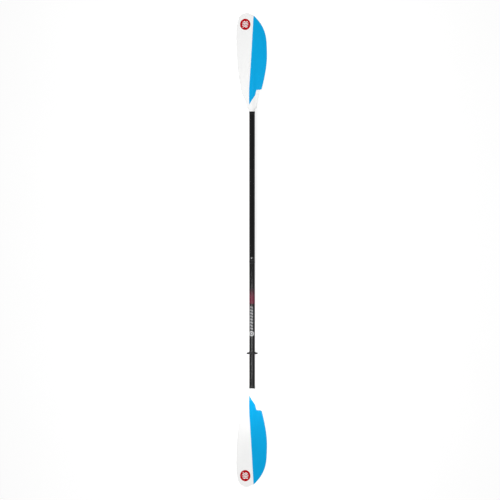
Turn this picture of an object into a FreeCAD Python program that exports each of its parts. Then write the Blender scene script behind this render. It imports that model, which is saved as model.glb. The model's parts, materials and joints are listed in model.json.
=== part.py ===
import FreeCAD, Part
import math
import os

# A two-piece kayak paddle, in mm, lying with both power faces up.
# X runs along the shaft towards the upper blade, +Z is up, the blue side of each
# blade is at -Y and the white side at +Y. The origin is on the shaft's axis,
# halfway between the two tips. The upper half is the socket half: its tube slides
# over the ferrule that is bonded into the lower half.

# ---- driving dimensions: the whole paddle ----
PADDLE_LENGTH = 2400.0        # tip to tip
BLADE_LENGTH = 499.0          # tip to the end of the black shaft
TUBE_OD = 28.6
TUBE_WALL = 1.2

# ---- blade ----
WHITE_HALF_WIDTH = 89.0       # shaft axis to the blade's edge on the white side
BLUE_HALF_WIDTH = 72.0
WEB_THICKNESS = 3.4           # away from the spine
BELLY_DEPTH = 15.0            # how far the middle of the blade is set back
BELLY_AT = 250.0              # from the tip
SPOON_LENGTH = 285.0          # from the belly to where the set-back would reach zero
DIHEDRAL_DEG = 8.5            # each side falls back from the middle line
RIDGE_RADIUS = 8.0            # how softly the two sides meet
SPINE_HEIGHT = 12.5           # spine's half height at the neck
SPINE_RUN = 115.0             # length over which the spine fades to a third
NECK_FLARE = 50.0             # how quickly the neck widens into the blade
NECK_ROUND = 25.0             # how quickly the round neck turns into spine and web
NECK_BEND = 90.0              # how quickly the set-back starts
EDGE_THINNING = 0.4           # power that thins the web towards its edges
SECTION_POINTS = 28
SECTION_COUNT = 13
TRIM_MARGIN = 8.0             # how far the untrimmed blade passes its outline
INLAY_DEPTH = 0.8             # thickness of the blue panel and the red roundel
ROUNDEL_RADIUS = 28.5
ROUNDEL_FROM_TIP = 56.0
ROUNDEL_ACROSS = -39.0        # from the shaft's axis, negative on the white side
SPIGOT_LENGTH = 60.0          # the blade's tail inside the tube
SPIGOT_BORE = 18.0
END_RING_LENGTH = 12.0
END_RING_PROUD = 0.5

# ---- outline of a blade, as (share of BLADE_LENGTH from the tip, flare share) ----
# A flare share of 0 is the tube's radius and 1 is the side's half width.
WHITE_SIDE = [
    (0.982, 0.12), (0.958, 0.124), (0.918, 0.20), (0.878, 0.324), (0.806, 0.565),
    (0.691, 0.75), (0.545, 0.894), (0.391, 0.972), (0.26, 0.99), (0.116, 0.927),
    (0.056, 0.816), (0.024, 0.664), (0.006, 0.42),
]
TIP_APEX = (0.0, 0.188)
BLUE_SIDE_START = [(0.008, 14.0), (0.026, -6.3)]
BLUE_SIDE = [
    (0.056, 0.125), (0.095, 0.396), (0.156, 0.694), (0.226, 0.885), (0.361, 0.985),
    (0.465, 0.985), (0.567, 0.90), (0.665, 0.754), (0.774, 0.554),
]
BLUE_NECK = [(0.782, 0.335), (0.842, 0.305), (0.918, 0.196), (0.958, 0.15), (0.982, 0.12)]

# ---- blue panel, as (share of BLADE_LENGTH from the tip, share of the tube's radius) ----
PANEL_LINE = [(-0.04, 0.63), (0.116, 0.22), (0.381, -0.44), (0.623, -0.99), (0.802, -1.22), (0.932, -0.94)]
PANEL_HEEL = [(0.876, 0.24), (0.84, 1.0), (0.781, 1.44), (0.778, 3.1)]

# ---- joint in the middle ----
SOCKET_END = -51.4            # X of the upper tube's open end
COLLAR_LENGTH = 14.6
COLLAR_PROUD = 0.4            # above the tubes
AXIAL_GAP = 0.3               # between the collar and each tube
RUNNING_CLEARANCE = 0.05      # radial, for the ferrule in the socket and the collar on it
FERRULE_WALL = 2.0
FERRULE_INSERT = 111.4        # length inside the upper tube
FERRULE_BONDED = 113.0        # length inside the lower tube
CAP_FLANGE = 2.0
CAP_PLUG = 12.0
CAP_RECESS_DEPTH = 8.0
CAP_WALL = 2.0
FOAM_LENGTH = 40.0
FOAM_FROM_SPIGOT = 40.0

# ---- snap button ----
BUTTON_FROM_SOCKET_END = 11.0
BUTTON_RADIUS = 4.5
BUTTON_PROUD = 0.15           # crown above the tube
FERRULE_HOLE_CLEARANCE = 0.1
TUBE_HOLE_CLEARANCE = 0.25
BUTTON_FLANGE_WIDTH = 1.5
BUTTON_FLANGE_THICKNESS = 1.2
BUTTON_FLANGE_GAP = 0.1       # between the flange and the ferrule's bore
FEATHER_ANGLES = (-60.0, 0.0, 60.0)
SPRING_THICKNESS = 0.6
SPRING_WIDTH = 9.0
SPRING_LEG = 48.0
SPRING_WALL_GAP = 0.1

# ---- flush rivet on the back that holds each blade ----
RIVET_RADIUS = 2.4
RIVET_HEAD_RADIUS = 4.2       # of the countersink, on the tube's outside
RIVET_PROUD = 0.15            # head above the tube
RIVET_LENGTH = 8.0            # from the tube's outside
RIVET_FROM_TUBE_END = 22.0

# ---- drip ring, placed from the end of the lower shaft ----
DRIP_RING_FROM_END = 182.5
DRIP_RING_RADIUS = 28.0
DRIP_RING_GRIP = 8.0          # length that holds the shaft
DRIP_RING_WALL = 1.9
DRIP_RING_CLEARANCE = 0.05
DRIP_RING_DEPTH = 12.0

# ---- markings on the lower shaft, as shares of the half shaft ----
FILM_THICKNESS = 0.12
BAND_FROM = 0.277
BAND_TO = 0.388
BARS_FROM = 0.396
BARS_TO = 0.576
EMBLEM_FROM = 0.584
EMBLEM_TO = 0.622
BAR_COUNT = 8
BAR_SHARE = 0.62              # painted share of each bar's pitch
BAR_HALF_WIDTH = 7.8
BAR_SLANT = 4.0               # how far a bar leans over its height
EMBLEM_HOLE_SHARE = 0.5

# ---- values that follow ----
TUBE_R = TUBE_OD / 2
BORE_R = TUBE_R - TUBE_WALL
HALF_LENGTH = PADDLE_LENGTH / 2
SHAFT_END = HALF_LENGTH - BLADE_LENGTH
TUBE_END = SHAFT_END - END_RING_LENGTH
SPIGOT_END = TUBE_END - SPIGOT_LENGTH
FERRULE_R = BORE_R - RUNNING_CLEARANCE
FERRULE_BORE_R = FERRULE_R - FERRULE_WALL
FERRULE_TIP = SOCKET_END + FERRULE_INSERT
LOWER_TUBE_START = SOCKET_END - COLLAR_LENGTH - 2 * AXIAL_GAP
FERRULE_TAIL = LOWER_TUBE_START - FERRULE_BONDED
BUTTON_X = SOCKET_END + BUTTON_FROM_SOCKET_END
FLANGE_R = BUTTON_RADIUS + BUTTON_FLANGE_WIDTH
FLANGE_TOP = math.sqrt(FERRULE_BORE_R**2 - FLANGE_R**2) - BUTTON_FLANGE_GAP
FLANGE_BOTTOM = FLANGE_TOP - BUTTON_FLANGE_THICKNESS
RIVET_X = TUBE_END - RIVET_FROM_TUBE_END
DRIP_RING_X = -SHAFT_END + DRIP_RING_FROM_END

ALONG_X = FreeCAD.Vector(1, 0, 0)
UP = FreeCAD.Vector(0, 0, 1)
ORIGIN = FreeCAD.Vector(0, 0, 0)


def rod(radius, x_from, x_to):
    return Part.makeCylinder(radius, x_to - x_from, FreeCAD.Vector(x_from, 0, 0), ALONG_X)


def tube(outer, inner, x_from, x_to):
    return rod(outer, x_from, x_to).cut(rod(inner, x_from - 1, x_to + 1))


def post(radius, x, y, z_from, z_to):
    return Part.makeCylinder(radius, z_to - z_from, FreeCAD.Vector(x, y, z_from), UP)


def lower_twin(shape):
    return shape.mirror(ORIGIN, ALONG_X)


# ---- blade form: s is the distance from the tip and t the distance across, blue side positive ----
def fade(s, length):
    """0 at the shaft's end, rising to 1 over about the given length."""
    return 1 - math.exp(-(((BLADE_LENGTH - s) / length) ** 2))


def middle_height(s, t):
    """Height of the middle of the blade's thickness."""
    belly = BELLY_DEPTH * (1 - ((s - BELLY_AT) / SPOON_LENGTH) ** 2)
    fall = math.tan(math.radians(DIHEDRAL_DEG)) * (math.hypot(t, RIDGE_RADIUS) - RIDGE_RADIUS)
    return -fade(s, NECK_BEND) * (belly + fall)


def half_thickness(s, t):
    """Half of the blade's thickness: the round neck, turning into a spine on a thin web."""
    spine = SPINE_HEIGHT * math.exp((s - BLADE_LENGTH) / SPINE_RUN) * math.exp(-((t / TUBE_R) ** 2))
    blade_share = fade(s, NECK_ROUND)
    return (1 - blade_share) * TUBE_R + blade_share * (WEB_THICKNESS / 2 + spine)


def blade_section(s):
    """A closed section across the blade, from which the outline is trimmed later."""
    reach = fade(s, NECK_FLARE)
    white = TUBE_R + (WHITE_HALF_WIDTH + TRIM_MARGIN - TUBE_R) * reach
    blue = TUBE_R + (BLUE_HALF_WIDTH + TRIM_MARGIN - TUBE_R) * reach
    power = 1 - (1 - EDGE_THINNING) * fade(s, NECK_ROUND)
    points = []
    for i in range(SECTION_POINTS):
        angle = 2 * math.pi * (i + 0.5) / SECTION_POINTS
        t = (blue - white) / 2 + (blue + white) / 2 * math.cos(angle)
        side = math.copysign(abs(math.sin(angle)) ** power, math.sin(angle))
        height = middle_height(s, t) + half_thickness(s, t) * side
        points.append(FreeCAD.Vector(HALF_LENGTH - s, -t, height))
    curve = Part.BSplineCurve()
    curve.interpolate(points, PeriodicFlag=True)
    return Part.Wire([curve.toShape()])


def untrimmed_blade():
    overrun = BLADE_LENGTH + TRIM_MARGIN
    steps = [overrun * (i / (SECTION_COUNT - 1)) ** 2 for i in range(SECTION_COUNT)]
    return Part.makeLoft([blade_section(BLADE_LENGTH - step) for step in steps], True, False)


def flat_point(along, t):
    return FreeCAD.Vector(HALF_LENGTH - along * BLADE_LENGTH, -t, -HALF_LENGTH)


def flare(share, half_width):
    return TUBE_R + share * (half_width - TUBE_R)


def spline_edge(points):
    curve = Part.BSplineCurve()
    curve.interpolate(points)
    return curve.toShape()


def prism(edges):
    return Part.Face(Part.Wire(edges)).extrude(UP * PADDLE_LENGTH)


def blade_outline():
    """Upright prism with the blade's outline, open towards the spigot."""
    white = [flat_point(a, -flare(f, WHITE_HALF_WIDTH)) for a, f in WHITE_SIDE]
    apex = [flat_point(TIP_APEX[0], -flare(TIP_APEX[1], WHITE_HALF_WIDTH))]
    turn = [flat_point(a, -offset) for a, offset in BLUE_SIDE_START]
    blue = [flat_point(a, flare(f, BLUE_HALF_WIDTH)) for a, f in BLUE_SIDE]
    neck = [flat_point(a, flare(f, BLUE_HALF_WIDTH)) for a, f in BLUE_NECK]
    blue_end = flat_point(1.02, neck[-1].y * -1)
    white_end = flat_point(1.02, -white[0].y)
    return prism([
        spline_edge(white + apex + turn + blue),
        Part.makeLine(blue[-1], neck[0]),
        spline_edge(neck),
        Part.makeLine(neck[-1], blue_end),
        Part.makeLine(blue_end, white_end),
        Part.makeLine(white_end, white[0]),
    ])


def panel_outline():
    """Upright prism over the blue side, down to the step at the blade's heel."""
    line = [flat_point(a, r * TUBE_R) for a, r in PANEL_LINE]
    heel = [flat_point(a, r * TUBE_R) for a, r in PANEL_HEEL]
    outside = BLUE_HALF_WIDTH + 2 * TRIM_MARGIN
    heel += [flat_point(PANEL_HEEL[-1][0], outside), flat_point(PANEL_LINE[0][0], outside)]
    corners = [line[-1]] + heel + [line[0]]
    edges = [Part.makeLine(a, b) for a, b in zip(corners, corners[1:])]
    return prism([spline_edge(line)] + edges)


def countersink():
    """The cone in the tube's wall that the rivet's head fills."""
    slope = (RIVET_HEAD_RADIUS - RIVET_RADIUS) / TUBE_WALL
    depth = TUBE_WALL + RIVET_PROUD
    start = FreeCAD.Vector(RIVET_X, 0, -TUBE_R - RIVET_PROUD)
    return Part.makeCone(RIVET_RADIUS + slope * depth, RIVET_RADIUS, depth, start, UP)


def blade_rivet():
    crown = rod(TUBE_R + RIVET_PROUD, RIVET_X - TUBE_R, RIVET_X + TUBE_R)
    shank = post(RIVET_RADIUS, RIVET_X, 0, -BORE_R, -TUBE_R + RIVET_LENGTH)
    return countersink().common(crown).fuse(shank).removeSplitter()


def rivet_hole():
    return post(RIVET_RADIUS, RIVET_X, 0, -TUBE_R, 0).fuse(countersink())


def blade_pieces():
    """The blade with its spigot, and the panel and roundel that are let into its power face."""
    whole = untrimmed_blade()
    below_inlay = whole.translated(-UP * INLAY_DEPTH)
    trimmed = whole.common(blade_outline())
    roundel_x = HALF_LENGTH - ROUNDEL_FROM_TIP
    disc = post(ROUNDEL_RADIUS, roundel_x, -ROUNDEL_ACROSS, -HALF_LENGTH, HALF_LENGTH)
    panel = trimmed.common(panel_outline()).cut(below_inlay)
    roundel = trimmed.common(disc).cut(below_inlay)
    spigot = tube(BORE_R, SPIGOT_BORE / 2, SPIGOT_END, SHAFT_END + 1)
    blade = trimmed.cut(panel).cut(roundel)
    blade = blade.fuse(spigot).cut(rivet_hole()).removeSplitter()
    return {"blade": blade, "blade_panel": panel, "blade_roundel": roundel}


# ---- shaft ----
def upper_shaft():
    shaft = tube(TUBE_R, BORE_R, SOCKET_END, TUBE_END).cut(rivet_hole())
    for angle in FEATHER_ANGLES:
        hole = post(BUTTON_RADIUS + TUBE_HOLE_CLEARANCE, BUTTON_X, 0, 0, TUBE_OD)
        shaft = shaft.cut(hole.rotate(ORIGIN, ALONG_X, angle))
    return shaft


def lower_shaft():
    return tube(TUBE_R, BORE_R, -TUBE_END, LOWER_TUBE_START).cut(lower_twin(rivet_hole()))


def end_ring():
    return tube(TUBE_R + END_RING_PROUD, BORE_R, TUBE_END, SHAFT_END)


def foam_plug():
    start = SPIGOT_END - FOAM_FROM_SPIGOT - FOAM_LENGTH
    return rod(BORE_R, start, start + FOAM_LENGTH)


# ---- joint ----
def ferrule():
    bonded = rod(BORE_R, FERRULE_TAIL, LOWER_TUBE_START)
    free = rod(FERRULE_R, LOWER_TUBE_START, FERRULE_TIP)
    bore = rod(FERRULE_BORE_R, FERRULE_TAIL - 1, FERRULE_TIP + 1)
    hole = post(BUTTON_RADIUS + FERRULE_HOLE_CLEARANCE, BUTTON_X, 0, 0, TUBE_OD)
    return bonded.fuse(free).cut(bore).cut(hole)


def ferrule_cap():
    start = FERRULE_TIP - CAP_PLUG
    plug = rod(FERRULE_BORE_R, start, FERRULE_TIP)
    flange = rod(FERRULE_R, FERRULE_TIP, FERRULE_TIP + CAP_FLANGE)
    recess = rod(FERRULE_BORE_R - CAP_WALL, start - 1, start + CAP_RECESS_DEPTH)
    return plug.fuse(flange).cut(recess).removeSplitter()


def joint_collar():
    start = LOWER_TUBE_START + AXIAL_GAP
    return tube(TUBE_R + COLLAR_PROUD, FERRULE_R + RUNNING_CLEARANCE, start, start + COLLAR_LENGTH)


def snap_button():
    """Round button with a crowned top and a flange that stops it inside the ferrule."""
    shoulder = math.sqrt(TUBE_R**2 - BUTTON_RADIUS**2)
    crown = TUBE_R + BUTTON_PROUD
    profile = [
        FreeCAD.Vector(BUTTON_X, 0, FLANGE_BOTTOM),
        FreeCAD.Vector(BUTTON_X + FLANGE_R, 0, FLANGE_BOTTOM),
        FreeCAD.Vector(BUTTON_X + FLANGE_R, 0, FLANGE_TOP),
        FreeCAD.Vector(BUTTON_X + BUTTON_RADIUS, 0, FLANGE_TOP),
        FreeCAD.Vector(BUTTON_X + BUTTON_RADIUS, 0, shoulder),
    ]
    edges = [Part.makeLine(a, b) for a, b in zip(profile, profile[1:])]
    top = FreeCAD.Vector(BUTTON_X, 0, crown)
    dome_radius = (BUTTON_RADIUS**2 + (crown - shoulder) ** 2) / (2 * (crown - shoulder))
    half_angle = math.asin(BUTTON_RADIUS / dome_radius) / 2
    halfway = FreeCAD.Vector(
        BUTTON_X + dome_radius * math.sin(half_angle), 0,
        crown - dome_radius * (1 - math.cos(half_angle)))
    edges.append(Part.Arc(profile[-1], halfway, top).toShape())
    edges.append(Part.makeLine(top, profile[0]))
    return Part.Face(Part.Wire(edges)).revolve(profile[0], UP, 360)


def button_spring():
    """A leaf bent into a U: one leg under the button, the other on the ferrule's far wall."""
    top = FLANGE_BOTTOM - SPRING_THICKNESS / 2
    wall = math.sqrt(FERRULE_BORE_R**2 - (SPRING_WIDTH / 2) ** 2)
    bottom = -wall + SPRING_WALL_GAP + SPRING_THICKNESS / 2
    bend = (top - bottom) / 2
    open_x = BUTTON_X + FLANGE_R
    bend_x = open_x - SPRING_LEG
    upper_leg = Part.makeLine(FreeCAD.Vector(open_x, 0, top), FreeCAD.Vector(bend_x, 0, top))
    turn = Part.Arc(
        FreeCAD.Vector(bend_x, 0, top),
        FreeCAD.Vector(bend_x - bend, 0, (top + bottom) / 2),
        FreeCAD.Vector(bend_x, 0, bottom)).toShape()
    lower_leg = Part.makeLine(FreeCAD.Vector(bend_x, 0, bottom), FreeCAD.Vector(open_x, 0, bottom))
    strip = Part.makePolygon([
        FreeCAD.Vector(open_x, y, top + z) for y, z in (
            (-SPRING_WIDTH / 2, -SPRING_THICKNESS / 2), (SPRING_WIDTH / 2, -SPRING_THICKNESS / 2),
            (SPRING_WIDTH / 2, SPRING_THICKNESS / 2), (-SPRING_WIDTH / 2, SPRING_THICKNESS / 2),
            (-SPRING_WIDTH / 2, -SPRING_THICKNESS / 2))])
    return Part.Wire([upper_leg, turn, lower_leg]).makePipeShell([strip], True, False)


# ---- drip ring ----
def drip_ring():
    """A rubber cup on a short grip, open towards the lower blade."""
    inner = TUBE_R + DRIP_RING_CLEARANCE
    outer = inner + DRIP_RING_WALL
    front = DRIP_RING_X + DRIP_RING_GRIP / 2
    rim = front - DRIP_RING_DEPTH
    profile = [
        (front, inner), (front, outer),
        (front - DRIP_RING_WALL, outer + DRIP_RING_WALL / 2),
        (rim + DRIP_RING_WALL * 1.6, DRIP_RING_RADIUS), (rim, DRIP_RING_RADIUS),
        (rim + DRIP_RING_WALL * 1.6, outer + DRIP_RING_WALL),
        (front - DRIP_RING_GRIP, outer), (front - DRIP_RING_GRIP, inner), (front, inner),
    ]
    wire = Part.makePolygon([FreeCAD.Vector(x, 0, r) for x, r in profile])
    return Part.Face(wire).revolve(ORIGIN, ALONG_X, 360)


# ---- markings ----
def film(x_from, x_to):
    return tube(TUBE_R + FILM_THICKNESS, TUBE_R, x_from, x_to)


def shaft_band():
    return film(-BAND_TO * SHAFT_END, -BAND_FROM * SHAFT_END)


def shaft_bars():
    """A row of plain leaning bars on top of the shaft."""
    start, end = -BARS_TO * SHAFT_END, -BARS_FROM * SHAFT_END
    pitch = (end - start - BAR_SLANT) / BAR_COUNT
    skin = film(start - pitch, end + pitch)
    bars = []
    for i in range(BAR_COUNT):
        low = start + i * pitch
        high = low + BAR_SHARE * pitch
        corners = [(low, -BAR_HALF_WIDTH), (high, -BAR_HALF_WIDTH),
                   (high + BAR_SLANT, BAR_HALF_WIDTH), (low + BAR_SLANT, BAR_HALF_WIDTH),
                   (low, -BAR_HALF_WIDTH)]
        face = Part.Face(Part.makePolygon([FreeCAD.Vector(x, y, 0) for x, y in corners]))
        bars.append(skin.common(face.extrude(UP * TUBE_OD)))
    return Part.makeCompound([bar.Solids[0] for bar in bars])


def shaft_emblem():
    """A plain ring, flat to the shaft."""
    start, end = -EMBLEM_TO * SHAFT_END, -EMBLEM_FROM * SHAFT_END
    radius = (end - start) / 2
    middle = (start + end) / 2
    skin = film(start - 1, end + 1)
    disc = post(radius, middle, 0, 0, TUBE_OD)
    hole = post(radius * EMBLEM_HOLE_SHARE, middle, 0, 0, TUBE_OD)
    return skin.common(disc).cut(hole)


def all_pieces():
    pieces = {}
    twins = dict(blade_pieces())
    twins["end_ring"] = end_ring()
    twins["blade_rivet"] = blade_rivet()
    twins["foam_plug"] = foam_plug()
    for name, shape in twins.items():
        pieces["upper_" + name] = shape
        pieces["lower_" + name] = lower_twin(shape)
    pieces["upper_shaft"] = upper_shaft()
    pieces["lower_shaft"] = lower_shaft()
    pieces["ferrule"] = ferrule()
    pieces["ferrule_cap"] = ferrule_cap()
    pieces["joint_collar"] = joint_collar()
    pieces["snap_button"] = snap_button()
    pieces["button_spring"] = button_spring()
    pieces["drip_ring"] = drip_ring()
    pieces["shaft_band"] = shaft_band()
    pieces["shaft_bars"] = shaft_bars()
    pieces["shaft_emblem"] = shaft_emblem()
    return pieces


os.makedirs("parts", exist_ok=True)
for node, shape in all_pieces().items():
    shape.exportStep(f"parts/{node}.step")
    print(f"{node:20s} solids {len(shape.Solids)} valid {shape.isValid()} volume {shape.Volume:.1f}")
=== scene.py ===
import json
from math import asin, cos, dist, exp, hypot, pi, radians, sin, sqrt, tan, tau

import bmesh
import bpy
from mathutils import Matrix, Vector, kdtree


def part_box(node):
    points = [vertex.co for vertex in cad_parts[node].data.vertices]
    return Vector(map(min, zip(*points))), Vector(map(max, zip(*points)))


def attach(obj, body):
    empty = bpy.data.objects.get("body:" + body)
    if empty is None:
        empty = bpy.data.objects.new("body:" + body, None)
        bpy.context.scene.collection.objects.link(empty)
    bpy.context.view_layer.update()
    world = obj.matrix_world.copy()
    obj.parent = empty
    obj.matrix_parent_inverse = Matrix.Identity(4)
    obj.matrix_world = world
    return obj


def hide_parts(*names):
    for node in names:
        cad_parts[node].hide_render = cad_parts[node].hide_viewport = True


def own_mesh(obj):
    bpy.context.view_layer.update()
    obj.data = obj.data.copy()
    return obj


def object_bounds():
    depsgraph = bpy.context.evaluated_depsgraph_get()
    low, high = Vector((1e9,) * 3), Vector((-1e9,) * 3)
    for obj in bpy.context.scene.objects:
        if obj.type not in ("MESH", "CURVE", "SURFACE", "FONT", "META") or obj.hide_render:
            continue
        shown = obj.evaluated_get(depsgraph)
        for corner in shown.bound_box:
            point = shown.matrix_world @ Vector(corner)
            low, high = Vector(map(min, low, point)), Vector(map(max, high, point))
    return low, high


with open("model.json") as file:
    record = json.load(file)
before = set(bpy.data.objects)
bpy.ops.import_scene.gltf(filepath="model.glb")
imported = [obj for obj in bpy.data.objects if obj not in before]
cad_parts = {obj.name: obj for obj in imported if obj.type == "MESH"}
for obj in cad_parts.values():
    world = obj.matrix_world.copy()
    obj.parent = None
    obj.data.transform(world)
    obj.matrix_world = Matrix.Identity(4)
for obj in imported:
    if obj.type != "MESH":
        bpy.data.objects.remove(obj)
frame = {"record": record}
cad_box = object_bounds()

# A two-piece kayak paddle. Sizes are in mm, and the meshes are made in metres.
# X runs along the shaft towards the upper blade, +Z is up, and both blades have
# their blue side at -Y. The paddle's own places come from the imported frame.
MM = 0.001


def corners(node):
    low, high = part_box(node)
    return low / MM, high / MM


def x_span(node):
    low, high = corners(node)
    return low.x, high.x


# ---- sizes taken from the frame ----
TUBE_R = frame["record"]["mounts"][0]["dims"]["r_mm"]
HALF_LENGTH = corners("upper_blade")[1].x
SHAFT_END = x_span("upper_end_ring")[1]
SPIGOT_END = corners("upper_blade")[0].x
BLADE_LENGTH = HALF_LENGTH - SHAFT_END
RIVET_X = sum(x_span("upper_blade_rivet")) / 2
BUTTON_X = sum(x_span("snap_button")) / 2

# ---- sizes of the tubes and what they hold ----
TUBE_WALL = 1.2
TUBE_BREAK = 0.35             # rounding of a tube's ends
BORE_R = TUBE_R - TUBE_WALL
END_RING_PROUD = 0.5          # above the tube
COLLAR_PROUD = 0.4            # above the tube
FERRULE_CLEARANCE = 0.05
FERRULE_WALL = 2.0
FERRULE_R = BORE_R - FERRULE_CLEARANCE
FERRULE_BORE_R = FERRULE_R - FERRULE_WALL
BOND_GAP = 0.02               # between the ferrule and the tube that it is bonded into
SPIGOT_BORE_R = 9.0
SPIGOT_CHAMFER = 0.8
BUTTON_R = 4.5
HOLE_CLEARANCE = 0.25         # around the button in the upper tube
FERRULE_HOLE_CLEARANCE = 0.1  # around the button in the ferrule
FEATHER_ANGLES = (-60.0, 0.0, 60.0)
RIVET_R = 2.4
RIVET_HEAD_R = 4.3
RIVET_LIFT = 0.15             # of its head above the tube
RIVET_SEAT_GAP = 0.1          # around its head
RIVET_HOLE_GAP = 0.02         # around its shank
CUT_PAST = 0.5                # how far a cone cutter starts outside the tube

# ---- marks printed on the lower tube ----
FILM = 0.12                   # how far the ink stands above the tube
FILM_SINK = 0.1               # how far its underside lies below the tube's skin
BAR_COUNT = 8
BAR_SHARE = 0.62              # painted share of the bars' pitch
BAR_SLANT = 4.0               # how far a bar leans along the tube
EMBLEM_SHARES = (0.5, 0.63, 0.75, 0.88, 1.0)      # of the emblem's radius, over its ring
EMBLEM_DOT = 0.3              # share of the emblem's radius

# ---- blade form ----
WHITE_HALF_WIDTH = 89.0
BLUE_HALF_WIDTH = 72.0
WEB_THICKNESS = 3.4
BELLY_DEPTH = 15.0            # of the spoon at its deepest
BELLY_AT = 250.0              # where that is, from the tip
SPOON_LENGTH = 285.0          # from there to where the spoon is level with the shaft
DIHEDRAL_DEG = 8.5            # slope of each side away from the middle
RIDGE_RADIUS = 8.0            # rounding of the ridge between the slopes
SPINE_HEIGHT = 12.5           # of the swelling that runs from the neck into the blade
SPINE_RUN = 115.0             # length over which that fades
NECK_FLARE = 50.0             # lengths over which the neck's width, its round section
NECK_ROUND = 25.0             # and its height turn into the blade's
NECK_BEND = 90.0
EDGE_THINNING = 0.4           # power of the section's curve: 1 is an ellipse, and less is blunter
TRIM_MARGIN = 8.0             # how much wider the form is than the outline that trims it
RIM_RADIUS = 1.3              # how far in from the outline the rim's rounding reaches
WEAR_REACH = 3.0              # how far in from the outline the rim's wear reaches, and on the white blade its painted rim shade
ROUNDEL_RADIUS = 28.5
ROUNDEL_FROM_TIP = 56.0
ROUNDEL_ACROSS = -39.0
INLAY_LIFT = 0.06             # of the panel and roundel above the blade
INLAY_SINK = 0.5
INLAY_SHRINK = 0.35           # how far the panel's underside stops short of the rim
CORNER_LIFT = 0.55            # how much higher the panel stands at the heel's sharp corner
CORNER_REACH = 4.5
WAVE_ROWS = 4
WAVE_PITCH = 8.2
WAVE_LENGTH = 34.0
WAVE_HEIGHT = 1.9
WAVE_THICK = 4.6
WAVE_TURNS = 2.0
OUTER_WAVE_SHARE = 0.86

# ---- outline of a blade, as (share of the blade's length from the tip, flare share) ----
# A flare share of 0 is the tube's radius and 1 is the side's half width.
WHITE_SIDE = [
    (0.982, 0.12), (0.958, 0.124), (0.918, 0.20), (0.878, 0.324), (0.806, 0.565),
    (0.691, 0.75), (0.545, 0.894), (0.391, 0.972), (0.26, 0.99), (0.116, 0.927),
    (0.056, 0.816), (0.024, 0.664), (0.006, 0.42),
]
TIP_APEX = (0.0, 0.188)
BLUE_SIDE_START = [(0.008, 14.0), (0.026, -6.3)]
BLUE_SIDE = [
    (0.056, 0.125), (0.095, 0.396), (0.156, 0.694), (0.226, 0.885), (0.361, 0.985),
    (0.465, 0.985), (0.567, 0.90), (0.665, 0.754), (0.774, 0.554),
]
BLUE_NECK = [(0.782, 0.335), (0.842, 0.305), (0.918, 0.196), (0.958, 0.15), (0.982, 0.12)]

# ---- blue panel, as (share of the blade's length from the tip, share of the tube's radius) ----
PANEL_LINE = [
    (-0.04, 0.63), (0.116, 0.22), (0.381, -0.44), (0.623, -0.99), (0.802, -1.22), (0.932, -0.94),
]
PANEL_HEEL = [(0.932, -0.94), (0.876, 0.24), (0.84, 1.0), (0.781, 1.44), (0.778, 3.1)]

# ---- how fine the meshes are ----
AROUND = 96
BLADE_STATIONS = 150
BLADE_ACROSS = 72
SPLINE_STEPS = 48
PATCH_STATIONS = 110
PATCH_ACROSS = 36
STEP_STATIONS = 6             # along the step between the neck and the blue side
STEP_BESIDE = 3               # the same spacing, before and after the step
STATION_GAP = 1.0             # least distance from those to the blade's other stations
HEEL_STATIONS = 9
HOLE_AROUND = 64
HOLE_MARGIN = 9.0             # from a hole's middle to the loops of faces beside it
WAVE_STEPS = 64
WAVE_ACROSS = 4
BAR_ALONG, BAR_ACROSS = 4, 16
EMBLEM_STEPS = 64
HALVINGS = 40                 # of a range, to find a place in it
CORNER_STEPS = 4              # faces over a rounded corner
CORNER_SHARE = 0.3            # most of an edge that a rounded corner takes up
STRAIGHT = -0.999             # cosine below which the two edges at a point make no corner
LONG_EDGE = 8                 # a longer edge, in corner reaches, gets a loop beside its corner
LOOP_AT = 3                   # how many reaches from the corner that loop is
SHOULDER_WEAR = 0.6           # wear where a rounded corner starts, against 1 in its middle
SHARP_ANGLE = radians(35)
WELD = 1e-7                   # metres
TINY = 1e-6


# ============ curves ============
def spline(points, steps=SPLINE_STEPS):
    """A smooth curve through the points as a dense list: a natural cubic spline by chord."""
    chords = [dist(a, b) for a, b in zip(points, points[1:])]
    count = len(points)
    axes = []
    for values in zip(*points):
        bend = [0.0] * count
        share = [0.0] * count
        for i in range(1, count - 1):
            before, after = chords[i - 1], chords[i]
            rise = (values[i + 1] - values[i]) / after - (values[i] - values[i - 1]) / before
            scale = 2 * (before + after) - before * share[i - 1]
            share[i] = after / scale
            bend[i] = (6 * rise - before * bend[i - 1]) / scale
        for i in range(count - 2, 0, -1):
            bend[i] -= share[i] * bend[i + 1]
        axes.append((values, bend))
    curve = []
    for i, chord in enumerate(chords):
        for k in range(steps):
            v = k / steps
            u = 1 - v
            curve.append(tuple(
                u * values[i] + v * values[i + 1]
                + chord**2 / 6 * ((u**3 - u) * bend[i] + (v**3 - v) * bend[i + 1])
                for values, bend in axes))
    return curve + [tuple(points[-1])]


def lookup(curve):
    """Reads t at any s from a dense curve of (s, t), which runs one way in s."""
    ordered = curve if curve[0][0] < curve[-1][0] else curve[::-1]
    starts = [p[0] for p in ordered]

    def read(s):
        low, high = 0, len(starts) - 1
        while high - low > 1:
            middle = (low + high) // 2
            if starts[middle] <= s:
                low = middle
            else:
                high = middle
        (s0, t0), (s1, t1) = ordered[low], ordered[high]
        share = 0.0 if s1 == s0 else min(1.0, max(0.0, (s - s0) / (s1 - s0)))
        return t0 + (t1 - t0) * share
    return read


def even_steps(start, end, count):
    return [start + (end - start) * i / count for i in range(count + 1)]


def cosine_steps(start, end, count):
    """Steps from start to end that close up towards both ends."""
    shares = [(1 - cos(pi * i / count)) / 2 for i in range(count + 1)]
    return [start + (end - start) * share for share in shares]


def disc_grid(down, across):
    """Rows of points that fill a circle of radius 1."""
    rows = []
    for x in cosine_steps(-1, 1, down):
        half = sqrt(max(0.0, 1 - x * x))
        rows.append([(x, y) for y in cosine_steps(-half, half, across)])
    return rows


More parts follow.
